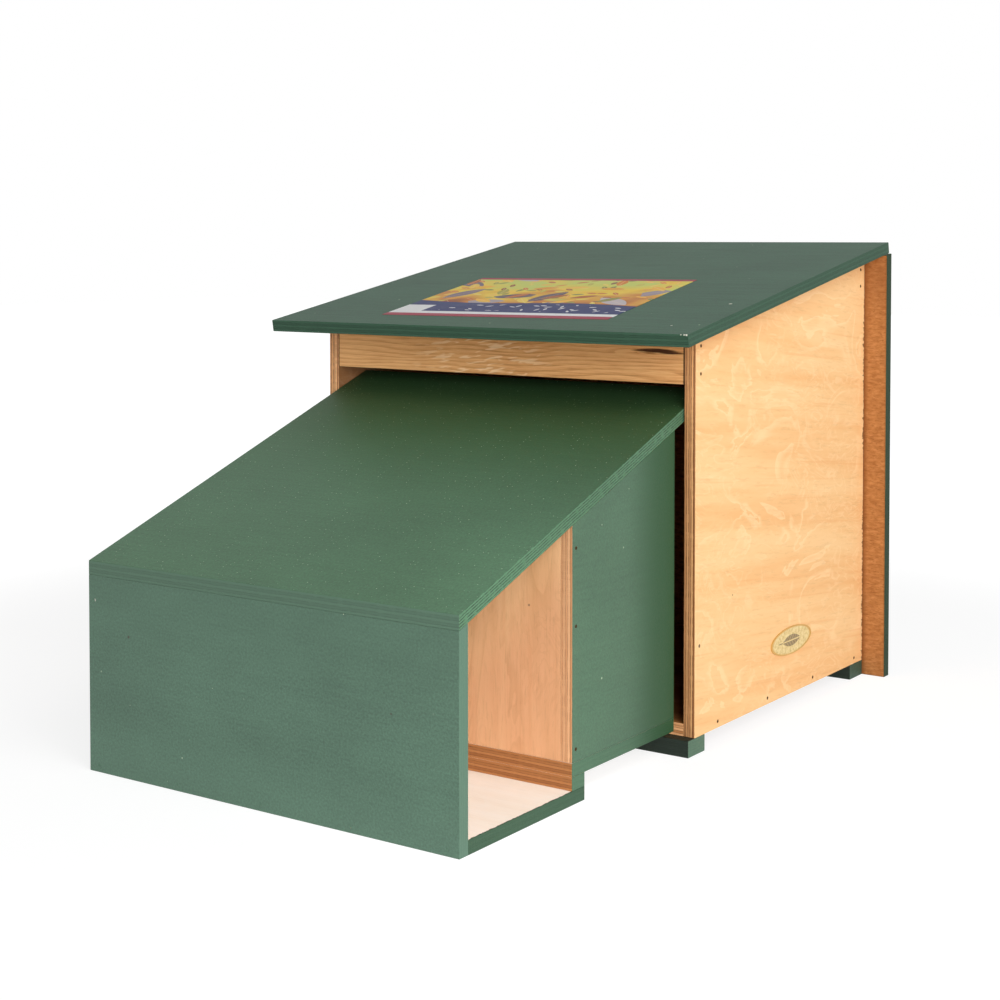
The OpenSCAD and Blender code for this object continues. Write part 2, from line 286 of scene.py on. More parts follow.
class Plies:
    """The colour of a sawn edge, and the masks that the paint and the relief need from it."""

    def __init__(self, f, lie, dark, light, glue, seam_width=0.15):
        slow = f.point(f.times(lie.run, 22.0), f.times(lie.depth, 60.0), lie.start + 1)
        sway = f.noise(slow, detail=3.0)
        step = f.sum(f.times(lie.depth, SHEETS / lie.thick), f.times(f.sum(sway, -0.5), 0.5))
        self.number = f.math("FLOOR", step)
        rest = f.math("FRACT", step)
        nearest = f.math("MINIMUM", rest, f.rest(rest))
        self.seam = f.rise(nearest, seam_width, seam_width * 0.2)
        gaps = f.noise(f.point(f.times(lie.run, 150.0), self.number, lie.start + 4), detail=3.0)
        self.broken = f.rise(gaps, 0.36, 0.56)
        odd = f.math("MODULO", f.away(self.number), 2.0)
        self.ends = f.away(f.math("SUBTRACT", odd, lie.end))
        grit = f.point(f.times(lie.run, 30.0), f.times(lie.depth, 1900.0), lie.start + 2)
        self.fleck = f.noise(grit, detail=4.0, rough=0.7)
        colour = self.sheet_colour(f, lie, dark, light)
        self.colour = f.blend(f.times(self.seam, self.broken, 0.75), colour, glue)

    def sheet_colour(self, f, lie, dark, light):
        own = f.node("TexWhiteNoise", {"W": self.number}, noise_dimensions="1D")
        shade = f.sum(f.times(self.ends, -0.36), f.times(own, 0.3), f.times(self.fleck, 0.9), 0.06)
        outermost = f.rise(f.away(f.times(lie.depth, 2.0 / lie.thick), 1.0), 0.84, 0.90)
        return f.blend(f.times(outermost, 0.6), f.tint(shade, (0.1, dark), (0.8, light)), light)


print("plies ready,", SHEETS, "sheets to a board")

# %% [markdown]
# ## Paint film and dust
# The green is a satin garden paint, put on by roller over the bare plywood.
# Three noises make its film: slow clouds, thin lines where the grain shows through,
# and the fine nap that the roller leaves. One flat colour would look like plastic.
# Dust that fell in while it dried left a few pale specks: points of a Voronoi pattern,
# of which only some cells show one, each in a size of its own.

# %% Film and dust of the paint
NAP = 480.0


def rolled_film(f, lie, shade, brush, spread):
    cloud = lie.noise(9.0, 13.0, layer=11, detail=4.0, rough=0.65)
    lines = lie.noise(9.0, 330.0, layer=12, detail=4.0, rough=0.65)
    nap = f.point(*(f.times(way, NAP) for way in (lie.along, lie.across, lie.depth)))
    roller = f.noise(nap, detail=3.0, rough=0.7)
    mottle = f.sum(f.times(cloud, 0.4), f.times(lines, brush), roller, -0.33 - brush / 2)
    half = 0.5 * spread
    colour = f.tint(mottle, (0.0, scaled(shade, 1 - half)), (1.0, scaled(shade, 1 + half)))
    return colour, lines, roller


def dust(f, lie, share, size, density):
    cells = f.cells(f.point(f.times(lie.along, density), f.times(lie.across, density)))
    luck = f.node("SeparateColor", (cells[1],)).node.outputs
    radius = f.times(luck[1], size * 0.16)
    speck = f.times(f.rise(cells[0], radius, f.times(radius, 0.4)), f.rise(luck[0], 1.0 - share, 1.0))
    return f.times(speck, f.rest(lie.edge))


print("film and dust ready")

# %% [markdown]
# ## Paint on faces and edges
# An edge drinks more paint than a face, so it dries in a tone of its own, and its glue lines
# stay visible as broken dark lines. Painted shade deepens the green where a face lies in shadow, and
# painted light pales it where light bounces up.
# Each of these is a mask that blends one more colour over the film.
# The function hands back the colour, the relief and the roughness, to be mixed with the bare wood.

# %% Paint recipe
GREEN = (0.072, 0.163, 0.088)
DUST = (0.46, 0.56, 0.40)


def paint(f, lie, plies, shade=GREEN, brush=0.25, spread=1.0, specks=0.03, speck_size=0.9,
          speck_density=110.0, rim=1.0, rim_shade=None, groove=0.6, end_groove=None, stripe=0.2,
          cut_end=None, painted_shading=(), edge_painted_shading=1.0):
    """brush and spread shape the film, rim and stripe the edges, and cut_end the sawn ends.
    Each entry of the shading list paints shade or light onto the film: direction, start, end, strength,
    tone."""
    colour, lines, roller = rolled_film(f, lie, shade, brush, spread)
    light_ply = rim_shade or scaled(shade, rim)
    rim_colour = f.blend(plies.ends, light_ply, scaled(light_ply, 1 - stripe))
    if cut_end:
        rim_colour = f.blend(lie.end, rim_colour, scaled(shade, cut_end))
    colour = f.blend(lie.edge, colour, rim_colour)
    # Painted shade and painted light: each shading entry deepens or pales the green by place, and this
    # share says how much reaches the edges.
    reached = f.sum(1.0, f.times(lie.edge, edge_painted_shading - 1.0))
    for direction, start, end, strength, tone in painted_shading:
        near = f.rise(f.reach(f.place(), direction), start, end)
        colour = f.blend(f.times(near, strength, reached), colour, tone)
    speck = dust(f, lie, specks, speck_size, speck_density)
    colour = f.blend(f.times(speck, 0.9), colour, DUST)
    cut = f.sum(groove, f.times(lie.end, (end_groove or groove) - groove))
    line = f.times(plies.seam, plies.broken, lie.edge, cut)
    colour = f.blend(line, colour, scaled(light_ply, 0.3))
    height = f.sum(f.times(lines, 0.5), f.times(roller, 0.5), f.times(line, -2.0),
                   f.times(speck, 0.8))
    return colour, height, f.sum(0.44, f.times(roller, 0.2))


print("paint ready")

# %% [markdown]
# ## Marks
# A few dents, drips and chips sit at places of their own.
# Each is a small ball around a point in the object's space: where the surface passes through the ball,
# the mark shows. A ball works on any face, however the board lies.
# The saw also tore splinters out of the veneer along the back edge of one side.
# Their ragged line is the edge's own place, pushed about by noise and left out in patches.

# %% Marks recipe
SPLINTER = (0.17, 0.06, 0.016)


def marks(f, colour, spots):
    for where, size, look, strength in spots:
        away = f.node("VectorMath", (f.place(), where), out=1, operation="DISTANCE")
        colour = f.blend(f.times(f.rise(away, size, size * 0.5), strength), colour, look)
    return colour


def splintered(f, lie, colour, start, end):
    torn = f.noise(f.point(f.times(lie.across, 330.0), f.times(lie.along, 90.0), 1.0), rough=0.6)
    patch = f.rise(f.noise(f.point(f.times(lie.across, 14.0), 0.0, 6.0)), 0.36, 0.58)
    ragged = f.sum(f.reach(f.place(), Y), f.times(f.sum(torn, -0.46), patch, 0.016))
    return f.blend(f.times(f.rise(ragged, start, end), 0.9), colour, SPLINTER)


print("marks ready")

# %% [markdown]
# ## From recipes to boards
# The maker painted the assembled pieces from outside, so a board is green only on the faces
# that a brush could reach. The mask for that compares the way the surface faces
# with a list of directions, and the other faces keep their veneer.
# Where the brush slipped over an edge, the paint bleeds a little onto the bare face.
# Inside the box the veneer is darker, a painted shade, and painted shadows darken corners where boards
# meet.
# A board may also carry painted light to one side, which multiplies its veneer and so keeps the figure.

# %% Bare wood and painted faces
# The SHADED veneer is a painted shade for the inner faces of the box.
SHADED = dict(dark=(0.24, 0.105, 0.040), middle=(0.30, 0.137, 0.053), light=(0.35, 0.165, 0.067))
EDGE = dict(dark=(0.32, 0.135, 0.048), light=(0.66, 0.35, 0.15), glue=(0.15, 0.06, 0.02))


def bare_wood(f, lie, plies, wood, figure, inner, veneer_shadows, painted_light):
    face, fibre = veneer(f, lie, **wood, **figure)
    # Painted shade: the inner faces take the darker SHADED veneer.
    if inner:
        inner_face, _ = veneer(f, lie, **SHADED)
        face = f.blend(f.rise(f.reach(lie.facing, inner), 0.4, 0.6), face, inner_face)
    # Painted shadows: the veneer darkens near a given line, such as a corner or the edge of the lid.
    for direction, line, width, strength, tone in veneer_shadows:
        near = f.rise(f.away(f.away(f.reach(f.place(), direction)), line), width, 0.0)
        face = f.blend(f.times(near, strength), face, tone)
    # Painted light: the veneer grows paler towards one side.
    if painted_light:
        direction, start, end, gain = painted_light
        paler = f.rise(f.reach(f.place(), direction), start, end)
        face = f.blend(paler, face, gain, blend_type="MULTIPLY")
    colour = f.blend(lie.edge, face, plies.colour)
    height = f.sum(f.times(fibre, 0.6), f.times(plies.fleck, lie.edge, 0.8),
                   f.times(plies.seam, lie.edge, -0.5))
    return colour, height, fibre


def painted_share(f, lie, green, bleed):
    share = 0.0
    for direction in green:
        share = f.larger(share, f.rise(f.reach(lie.facing, direction), 0.25, 0.35))
    if bleed:
        shreds = f.point(f.times(lie.along, 140.0), f.times(lie.across, 140.0), 3.0)
        torn = f.noise(shreds, detail=3.0, rough=0.7)
        ragged = f.sum(lie.along, f.times(torn, 0.0035))
        share = f.larger(share, f.rise(ragged, bleed, bleed + 0.0008))
    return share


print("faces ready")

# %% [markdown]
# ## One finish for every board
# Each board gets a material of its own from the same parts, because its directions,
# its wood and its coat differ. One function with a few settings keeps all boards alike in kind,
# and what makes a board special stands in one short call further down.

# %% Board finish
def board(name, grain, up, wood, green=(), everywhere=False, figure=None, rim_wood=EDGE, coat=None,
          spots=(), shine=0.3, roughness=0.52, splinters=None, bleed=None, inner=None, veneer_shadows=(),
          painted_light=None):
    """grain and up say how the board lies, and green the ways that its painted faces look.
    Each spot is a place, a size, a colour and a strength. The shadow list and the light setting
    paint shadows and light onto the veneer by place, and inner is the way its painted-shade side looks."""
    f = new_finish(name + "_finish")
    lie = Lie(f, name, grain, up)
    plies = Plies(f, lie, **rim_wood)
    if everywhere:
        colour, height, rough = paint(f, lie, plies, **coat)
    else:
        colour, height, fibre = bare_wood(f, lie, plies, wood, figure or {}, inner, veneer_shadows, painted_light)
        rough = f.sum(roughness, f.times(fibre, 0.15))
    if green:
        share = painted_share(f, lie, green, bleed)
        film, relief, film_rough = paint(f, lie, plies, **(coat or {}))
        colour = f.blend(share, colour, film)
        height = f.node("Mix", {0: share, 2: height, 3: relief})
        rough = f.node("Mix", {0: share, 2: rough, 3: film_rough})
    colour = marks(f, colour, spots)
    if splinters:
        colour = splintered(f, lie, colour, *splinters)
    put_on(name, f.surface(colour, rough, height, bump=0.0004, shine=shine))


print("board finish ready")

# %% [markdown]
# ## The house's sides and floor
# The sides are pale birch veneer outside, with the bold figure that peeled birch has.
# Their saw cuts show broad dark glue lines. The floor is brown inside, and dull from use.
# Two small marks on the right side stand where the photograph has them.

# %% Side boards and house floor
HOLE = (0.05, 0.03, 0.02)
RESIN = (0.3, 0.15, 0.06)
BIRCH = dict(dark=(0.86, 0.475, 0.205), middle=(0.90, 0.565, 0.27), light=(0.92, 0.60, 0.305))
BROWN = dict(dark=(0.33, 0.125, 0.037), middle=(0.415, 0.168, 0.050), light=(0.48, 0.205, 0.065))
BIRCH_FIGURE = dict(curl=0.52, rings=5.5, fibres=0.25, streaks=0.25, fibre_size=(55.0, 420.0))
SIDE_GLUE = (0.10, 0.035, 0.012)
RIGHT_EDGE = dict(dark=(0.27, 0.103, 0.034), light=(0.76, 0.40, 0.17), glue=SIDE_GLUE, seam_width=0.24)
LEFT_EDGE = dict(dark=(0.40, 0.15, 0.05), light=(0.97, 0.55, 0.26), glue=SIDE_GLUE, seam_width=0.30)
PALE_EDGE = dict(dark=(0.50, 0.21, 0.075), light=(0.92, 0.50, 0.23), glue=(0.22, 0.08, 0.03))

side_spots = [((0.22, -0.0124, 0.101), 0.0022, HOLE, 0.9),
              ((0.22, 0.0537, 0.138), 0.0013, RESIN, 0.7)]
board("side_right", SINKING, X, BIRCH, figure=BIRCH_FIGURE, rim_wood=RIGHT_EDGE, spots=side_spots,
      splinters=(0.3600, 0.3606), inner=-X, shine=0.15)
board("side_left", Y, X, BIRCH, figure=BIRCH_FIGURE, rim_wood=LEFT_EDGE, inner=X)
board("house_floor", X, Z, BROWN, rim_wood=PALE_EDGE, shine=0.04, roughness=0.8)
print("two sides and the house floor done")

# %% [markdown]
# ## The back board
# The back board is wider than the box. Its two wings stay bare in front, dappled by weather,
# with painted shadows beside each side board, along the outer edge and under the lid, and its edges and
# back are green.
# The dapples are the same veneer recipe with short, narrow bands instead of long ones.

# %% Back board
# The brown of the painted shadows on the wings.
WING_SHADOW = (0.20, 0.065, 0.018)
DAPPLED = dict(dark=(0.30, 0.112, 0.032), middle=(0.425, 0.178, 0.056), light=(0.53, 0.240, 0.082))
DAPPLES = dict(bands=(110.0, 300.0), curl=0.06, streaks=0.1, fibres=0.7, fibre_size=(210.0, 560.0))

# Painted shadows on the wings: beside each side board, along the outer edge, and under the lid.
wing_shadows = [(X, 0.220, 0.006, 0.75, WING_SHADOW),
              (X, 0.246, 0.0025, 0.6, WING_SHADOW),
              (Z, 0.437, 0.060, 0.35, WING_SHADOW)]
board("back_board", X, Y, DAPPLED, green=(X, -X, Y, Z, -Z), figure=DAPPLES, veneer_shadows=wing_shadows, shine=0.15,
      coat=dict(rim_shade=(0.017, 0.042, 0.016)))
print("back board done")

# %% [markdown]
# ## The lid
# The lid is rolled green on top and round the edges. It got the thickest coat,
# so its clouds are strong and its glue lines are shallow.
# Its front corner is chipped down to the pale wood, in a row of marks along the edge.

# %% Lid
CHIP = (0.75, 0.72, 0.62)
LID_GREEN = (0.053, 0.117, 0.074)

lid_spots = [((0.2214, 0.0442, 0.4181), 0.0022, CHIP, 0.9),
             ((0.2442, -0.0831, 0.3950), 0.0015, CHIP, 0.9),
             ((0.2418, -0.0831, 0.3950), 0.0011, CHIP, 0.8),
             ((0.2385, -0.0831, 0.3950), 0.0009, CHIP, 0.7),
             ((0.2109, -0.0508, 0.4010), 0.0014, CHIP, 0.8)]
board("lid", X, LID_UP, BIRCH, green=(X, -X, LID_UP, LID_BACK, -LID_BACK), spots=lid_spots, shine=0.12,
      coat=dict(shade=LID_GREEN, rim=0.85, specks=0.02, brush=0.5, spread=1.2, groove=0.4))
print("lid done with", len(lid_spots), "chips")

# %% [markdown]
# ## The porch roof
# The porch roof caught the most dust. Close to the house its paint is darker:
# a painted shadow of the lid, and a near black painted shadow under the rail.
# Its glue lines stand out on the sawn ends, while the paint nearly fills them along the front.

# %% Porch roof
TAN = dict(dark=(0.80, 0.39, 0.18), middle=(0.91, 0.47, 0.235), light=(0.96, 0.54, 0.29))
# Painted shadows on the porch roof: deep green under the lid, near black under the rail.
LID_SHADOW_GREEN = (0.022, 0.070, 0.020)
RAIL_SHADOW_BLACK = (0.004, 0.012, 0.003)

roof_coat = dict(specks=0.45, speck_size=0.8, speck_density=190.0, rim_shade=(0.084, 0.155, 0.105),
                 groove=0.2, end_groove=0.85, stripe=0.12, cut_end=1.18, edge_painted_shading=0.0,
                 painted_shading=[(Y, -0.26, 0.01, 0.9, LID_SHADOW_GREEN), (Y, -0.05, -0.006, 0.35, RAIL_SHADOW_BLACK)])
board("porch_roof", X, PORCH_UP, TAN, green=(X, -X, PORCH_UP, -Y, Y), coat=roof_coat,
      rim_wood=dict(EDGE, seam_width=0.30))
print("porch roof done")

# %% [markdown]
# ## The porch's walls
# The front wall took its paint more cloudily than the side walls. It carries a painted shadow under the
# roof's edge and painted light from the floor at its foot. The right wall carries a painted shadow towards
# the house, like the roof.
# Inside, the walls are bare.

# %% Porch walls
FRONT_GREEN = (0.083, 0.166, 0.1115)
SIDE_GREEN = (0.066, 0.142, 0.082)
DRIP = (0.03, 0.07, 0.04)
JAMB_EDGE = dict(dark=(0.57, 0.25, 0.10), light=(0.85, 0.50, 0.265), glue=(0.31, 0.11, 0.04))

front_spots = [((-0.156, -0.373, 0.1275), 0.0016, HOLE, 0.8),
               ((0.1395, -0.373, 0.1037), 0.0012, HOLE, 0.7),
               ((0.1457, -0.373, 0.1787), 0.0016, DRIP, 0.7),
               ((-0.1985, -0.373, 0.1556), 0.0016, CHIP, 0.5)]
# The front coat paints a shadow under the roof's edge and bounced floor light at the foot.
front_coat = dict(shade=FRONT_GREEN, brush=0.15, spread=1.2, stripe=0.05, groove=0.15, cut_end=0.91,
                  edge_painted_shading=0.0,
                  painted_shading=[(Z, 0.09, 0.18, 0.30, (0.050, 0.110, 0.068)),
                             (Z, 0.06, 0.01, 0.12, (0.12, 0.22, 0.155))])
# A painted shadow darkens the right wall towards the house.
side_painted_shadow = [(Y, -0.130, -0.060, 1.0, (0.012, 0.061, 0.018))]
board("porch_front", X, Y, TAN, green=(X, -X, -Y), coat=front_coat, spots=front_spots, shine=0.5)
board("porch_left", Y, X, TAN, green=(-X,), coat=dict(shade=SIDE_GREEN))
board("porch_right", Y, X, TAN, green=(X,), coat=dict(shade=SIDE_GREEN, painted_shading=side_painted_shadow),
      rim_wood=JAMB_EDGE, spots=[((0.2065, -0.1546, 0.0353), 0.0013, HOLE, 0.8)], shine=0.45)
print("three porch walls done")

# %% [markdown]
# ## The feet
# The feet are battens in the same green. Their long sides carry a painted shadow that makes them nearly
# black, while their sawn ends keep the paint's own lighter green. They are painted all round,
# so they need no veneer at all.

# %% Feet
# The feet's base green is a painted shadow on their long sides, and the sawn ends scale it up to the
# paint's own green.
FOOT_SHADOW_GREEN = (0.011, 0.021, 0.0135)

foot_coat = dict(shade=FOOT_SHADOW_GREEN, stripe=0.1, groove=0.2)
board("front_foot", X, Z, TAN, everywhere=True, coat=dict(foot_coat, cut_end=7.4))
board("back_foot", X, Z, TAN, everywhere=True, coat=dict(foot_coat, cut_end=3.9))
print("two feet done")

# %% [markdown]
# ## The porch's inner boards
# The partition stands with its grain upright, so its figure is stretched into tall arches
# and its outlines are darker than the wood, not lighter as on the birch.
# High up, under the roof, its veneer carries painted light that pales it.
# The corridor's floor is the palest wood of all, worn clean by feet,
# and a little green has run over its edge. The boards under the partition show as a band of plies.

# %% Partition and inner floors
CREAM = dict(dark=(0.70, 0.36, 0.175), middle=(0.79, 0.43, 0.225), light=(0.835, 0.495, 0.262))
PALE = dict(dark=(0.91, 0.78, 0.65), middle=(0.95, 0.84, 0.72), light=(0.97, 0.88, 0.78))
BLEACHED = dict(dark=(0.93, 0.82, 0.70), middle=(0.96, 0.865, 0.76), light=(0.97, 0.90, 0.82))
BAND_EDGE = dict(dark=(0.33, 0.125, 0.040), light=(0.50, 0.215, 0.073), glue=(0.12, 0.04, 0.013))
ARCHES = dict(curl=0.25, stretch=3.0, outline=(0.50, 0.22, 0.09), streaks=0.15, fibres=0.3,
              fibre_size=(55.0, 600.0))

# Painted light: the partition's veneer grows paler high up, where the roof's shadow falls.
painted_light_top = (Z - 0.873 * X, -0.020, 0.075, (1.18, 1.30, 1.28))
partition_spots = [((0.1624, -0.211, 0.1661), 0.0014, HOLE, 0.6),
                   ((0.1967, -0.211, 0.0598), 0.0010, HOLE, 0.6)]
quiet_coat = dict(shade=SIDE_GREEN, stripe=0.06, groove=0.15)
board("partition", Z, Y, CREAM, figure=ARCHES, spots=partition_spots, painted_light=painted_light_top)
board("corridor_floor", X, Z, BLEACHED, green=(X, -X, -Y), figure=dict(curl=0.1, fibres=0.15),
      coat=dict(quiet_coat, shade=(0.050, 0.098, 0.060)), shine=0.1, bleed=0.2066)
# The porch floor's green edge takes the same painted shadow towards the house.
board("porch_floor", X, Z, PALE, green=(X, -X), coat=dict(quiet_coat, painted_shading=side_painted_shadow),
      rim_wood=BAND_EDGE)
board("floor_cleat", X, Z, TAN, green=(X, -X), coat=quiet_coat, rim_wood=BAND_EDGE)
print("partition, two floors and their cleat done")

# %% [markdown]
# ## Knots and rays
# The two rails are planed softwood. A branch leaves a dark, ragged streak in it,
# around which the year rings bend. The streak is a flat oval, made ragged by the fibres' noise,
# and the bend is a wider oval that pushes the rings aside.
# Short pale rays cross the grain in the middle of the rail.

# %% Knots and rays
def bent_round(f, lie, push, fibre, knots):
    """The push on the rings and the dark streak that the knots give."""
    dark_streak = 0.0
    for x, z, long, high in knots:
        dx = f.times(f.sum(lie.along, -x), 1.0 / long)
        dz = f.times(f.sum(f.reach(f.place(), Z), -z), 1.0 / high)
        outward = f.sum(f.times(dx, dx), f.times(dz, dz))
        push = f.sum(push, f.times(f.rise(outward, 6.0, 0.0), 1.5))
        ragged = f.sum(outward, f.times(fibre, 2.0), -1.0)
        dark_streak = f.larger(dark_streak, f.rise(ragged, 1.1, 0.25))
    return push, dark_streak


def rays(f, lie):
    slant = f.sum(f.times(lie.across, 330.0), f.times(lie.along, 40.0))
    fleck = f.noise(f.point(f.times(lie.along, 60.0), slant, lie.start + 4), detail=1.0, twist=0.3)
    middle = f.rise(f.away(f.sum(lie.along, 0.02)), 0.11, 0.03)
    return f.times(f.rise(fleck, 0.55, 0.67), middle, 0.55)


print("knots and rays ready")

# %% [markdown]
# ## Solid rails
# A planed rail is sawn from the log along its rings, so they run over its face as long flames.
# Here a ring counter grows across the rail, pushed about by a slow noise.
# The rest of its division by one gives each ring its pale early and dark late wood.
# Dirt has settled in the joint at each end.

# %% Rails
RAY = (0.92, 0.68, 0.42)
KNOT = (0.035, 0.010, 0.003)
JOINT_DIRT = (0.030, 0.012, 0.004)
RAIL_TONES = ((0.15, (0.36, 0.145, 0.045)), (0.5, (0.64, 0.32, 0.12)), (0.85, (0.80, 0.46, 0.20)))
RINGS_ACROSS = 230.0
RINGS_DEEP = 90.0


def rail(name, knots):
    f = new_finish(name + "_finish")
    lie = Lie(f, name, X, Y)
    thread = f.point(f.times(lie.along, 28.0), f.times(lie.across, 700.0), f.times(lie.depth, 700.0))
    fibre = f.noise(thread, detail=4.0, rough=0.7)
    slow = lie.noise(3.5, 16.0, layer=0, twist=0.4)
    push, dark_streak = bent_round(f, lie, f.times(slow, 7.0), fibre, knots)
    count = f.sum(f.times(lie.across, RINGS_ACROSS), f.times(lie.depth, RINGS_DEEP), push)
    ring = f.math("FRACT", count)
    late = f.times(f.rise(ring, 0.25, 0.9), f.rise(ring, 1.0, 0.93))
    from_middle = f.away(lie.along)
    paler = f.sum(f.times(lie.along, -0.5), f.times(from_middle, 0.55))
    shade = f.sum(f.times(late, -0.22), f.times(fibre, 1.1), f.times(slow, 0.45), paler, -0.19)
    colour = f.blend(rays(f, lie), f.tint(shade, *RAIL_TONES), RAY)
    colour = f.blend(f.times(dark_streak, 0.97), colour, KNOT)
    colour = f.blend(f.rise(from_middle, 0.2062, 0.2074), colour, JOINT_DIRT)
    height = f.sum(f.times(fibre, 0.8), f.times(late, 0.4))
    put_on(name, f.surface(colour, f.sum(0.5, f.times(fibre, 0.2)), height, bump=0.0003, shine=0.12))


rail("front_rail", knots=[(0.176, 0.3752, 0.026, 0.0026), (0.193, 0.3735, 0.018, 0.0014)])
rail("back_rail", knots=[(-0.05, 0.43, 0.02, 0.006)])
print("two rails done")

# %% [markdown]
# ## The printed sheet
# A printed sheet is stuck to the lid. Its picture is a free design: autumn leaves
# over a warm field, a dark blue hill in front and wine-red borders.
# One leaf is scattered many times: the cells of a Voronoi pattern give each copy its own place,
# and the cell's random colour gives it a turn and a tone.
# Drawn this way the leaves stay crisp at any size, and no picture has to be painted or loaded.

# %% Leaf recipe
AUTUMN = ((0.0, (0.16, 0.035, 0.015)), (0.2, (0.60, 0.16, 0.02)), (0.45, (0.88, 0.46, 0.04)),
          (0.7, (0.80, 0.66, 0.12)), (0.85, (0.46, 0.38, 0.05)), (1.0, (0.14, 0.18, 0.04)))
HEATHER = ((0.0, (0.10, 0.075, 0.10)), (0.5, (0.30, 0.24, 0.28)), (1.0, (0.62, 0.55, 0.56)))
FROST = ((0.0, (0.55, 0.58, 0.66)), (1.0, (0.80, 0.82, 0.86)))
LEAF_RIB = (0.9, 0.72, 0.4)
FULL_TURN = 6.283


def scatter_leaves(f, u, v, colour, tones, spacing, length, width, shift, share):
    where = f.point(f.sum(f.times(u, 1 / spacing), shift), f.sum(f.times(v, 1 / spacing), shift))
    cells = f.cells(where, Randomness=0.8)
    off = f.node("VectorMath", (where, cells[2]), operation="SUBTRACT")
    off = f.node("SeparateXYZ", (off,)).node.outputs
    luck = f.node("SeparateColor", (cells[1],)).node.outputs
    angle = f.times(luck[0], FULL_TURN)
    turn, lean = f.math("COSINE", angle), f.math("SINE", angle)
    x = f.times(f.sum(f.times(off[0], turn), f.times(off[1], lean)), spacing)
    y = f.times(f.sum(f.times(off[1], turn), f.times(off[0], lean, -1.0)), spacing)
    rel = f.times(x, 1 / length)
    bulge = f.times(f.rest(f.times(rel, rel)), width)
    inside = f.rise(f.math("SUBTRACT", bulge, f.away(y)), 0.0, 0.0004)
    inside = f.times(inside, f.rise(luck[2], 1.0 - share, 1.02 - share))
    rib = f.rise(f.away(y), 0.0005, 0.0002)
    tone = f.blend(f.times(rib, 0.5), f.tint(luck[1], *tones), LEAF_RIB)
    return f.blend(inside, colour, tone)


print("leaf recipe ready, three palettes")

# %% [markdown]
# ## The sheet's field of leaves
# The sheet was stuck on a little crooked, so its own two directions are turned by a small angle.
# Everything on it is placed by these two distances from its middle, in metres.
# The warm field comes first, and then three sizes of leaves, each laid over the one before.

# %% Sheet directions and field
CROOKED = math.radians(1.8)
SHEET_U = X * math.cos(CROOKED) + LID_BACK * math.sin(CROOKED)
SHEET_V = LID_BACK * math.cos(CROOKED) - X * math.sin(CROOKED)


def from_the_middle(f, name, direction):
    return f.sum(f.reach(f.place(), direction), -sum(extent(name, direction)) / 2)


f = new_finish("lid_sheet_finish")
u = from_the_middle(f, "lid_sheet", SHEET_U)
v = from_the_middle(f, "lid_sheet", SHEET_V)
haze = f.noise(f.point(f.times(u, 14.0), f.times(v, 20.0), 2.0), twist=0.3)
colour = f.tint(f.sum(f.times(v, 4.0), haze), (0.22, (0.20, 0.06, 0.02)), (0.42, (0.62, 0.24, 0.04)),
                (0.6, (0.86, 0.60, 0.06)), (0.8, (0.60, 0.64, 0.14)))
colour = scatter_leaves(f, u, v, colour, AUTUMN, 0.018, 0.008, 0.0030, shift=7.0, share=0.85)
colour = scatter_leaves(f, u, v, colour, HEATHER, 0.055, 0.028, 0.0105, shift=5.0, share=0.5)
colour = scatter_leaves(f, u, v, colour, AUTUMN, 0.034, 0.016, 0.0060, shift=1.0, share=0.6)
print("sheet is", [round(1000 * (high - low)) for low, high in
                   (extent("lid_sheet", SHEET_U), extent("lid_sheet", SHEET_V))], "mm")

# %% [markdown]
# ## The sheet's hill and bars
# A dark hill with small pale leaves stands in front. Its skyline is a sine wave over a gentle slope,
# and whatever lies below it turns navy. A plain white bar with a small panel at its left end,
# and a wine-red stripe along the top and the bottom, frame the picture.
# They are soft steps of the same two distances, only 0.4 mm wide, which is as sharp as print.

# %% Sheet hill and bars
NAVY = (0.024, 0.032, 0.120)
PAPER_WHITE = (0.80, 0.80, 0.80)
WINE_RED = (0.36, 0.045, 0.075)
CRISP = 0.0004
PANEL_CORNER = (-0.0975, -0.046)
BAR_TOP = -0.074
STRIPES = (-0.084, 0.0860)


def short_of(f, value, line):
    return f.rise(value, line, line - CRISP)


def past(f, value, line):
    return f.rise(value, line, line + CRISP)


hill_top = f.sum(f.times(f.math("SINE", f.times(u, 26.0)), 0.005), f.times(u, -0.04), -0.030)
below = f.math("SUBTRACT", hill_top, v)
frosted = scatter_leaves(f, u, v, NAVY, FROST, 0.0125, 0.0050, 0.0017, shift=3.0, share=0.7)
in_field = f.times(f.rise(below, 0.006, 0.010), f.rise(v, -0.0690, -0.0660), f.rise(u, -0.092, -0.086))
colour = f.blend(past(f, below, 0.0), colour, f.blend(in_field, NAVY, frosted))
panel = f.times(short_of(f, u, PANEL_CORNER[0]), short_of(f, v, PANEL_CORNER[1]))
colour = f.blend(f.larger(panel, short_of(f, v, BAR_TOP)), colour, PAPER_WHITE)
stripes = f.larger(short_of(f, v, STRIPES[0]), past(f, v, STRIPES[1]))
colour = f.blend(stripes, colour, WINE_RED)
rub = f.noise(f.point(f.times(u, 60.0), f.times(v, 60.0), 4.0), detail=4.0, rough=0.7)
put_on("lid_sheet", f.surface(colour, f.sum(0.3, f.times(rub, 0.2)), rub, bump=0.0001, shine=0.04))
print("sheet done")

# %% [markdown]
# ## The badge
# A small oval plate of varnished wood sits low on the side. It carries one plain leaf.
# The leaf is drawn by arithmetic alone: its half width shrinks with the square of the distance
# from its middle, and the veins are the remainders of a division that leans with the distance
# from the rib. A picture of a leaf would need more work and would blur close up.

# %% Badge finish
RIM_BROWN = (0.62, 0.34, 0.07)
LEAF_BROWN = (0.13, 0.07, 0.02)
OVAL_HALF = (0.046, 0.014)
LEAF_HALF = (0.021, 0.0060)
VEIN_SPACING = 0.0058

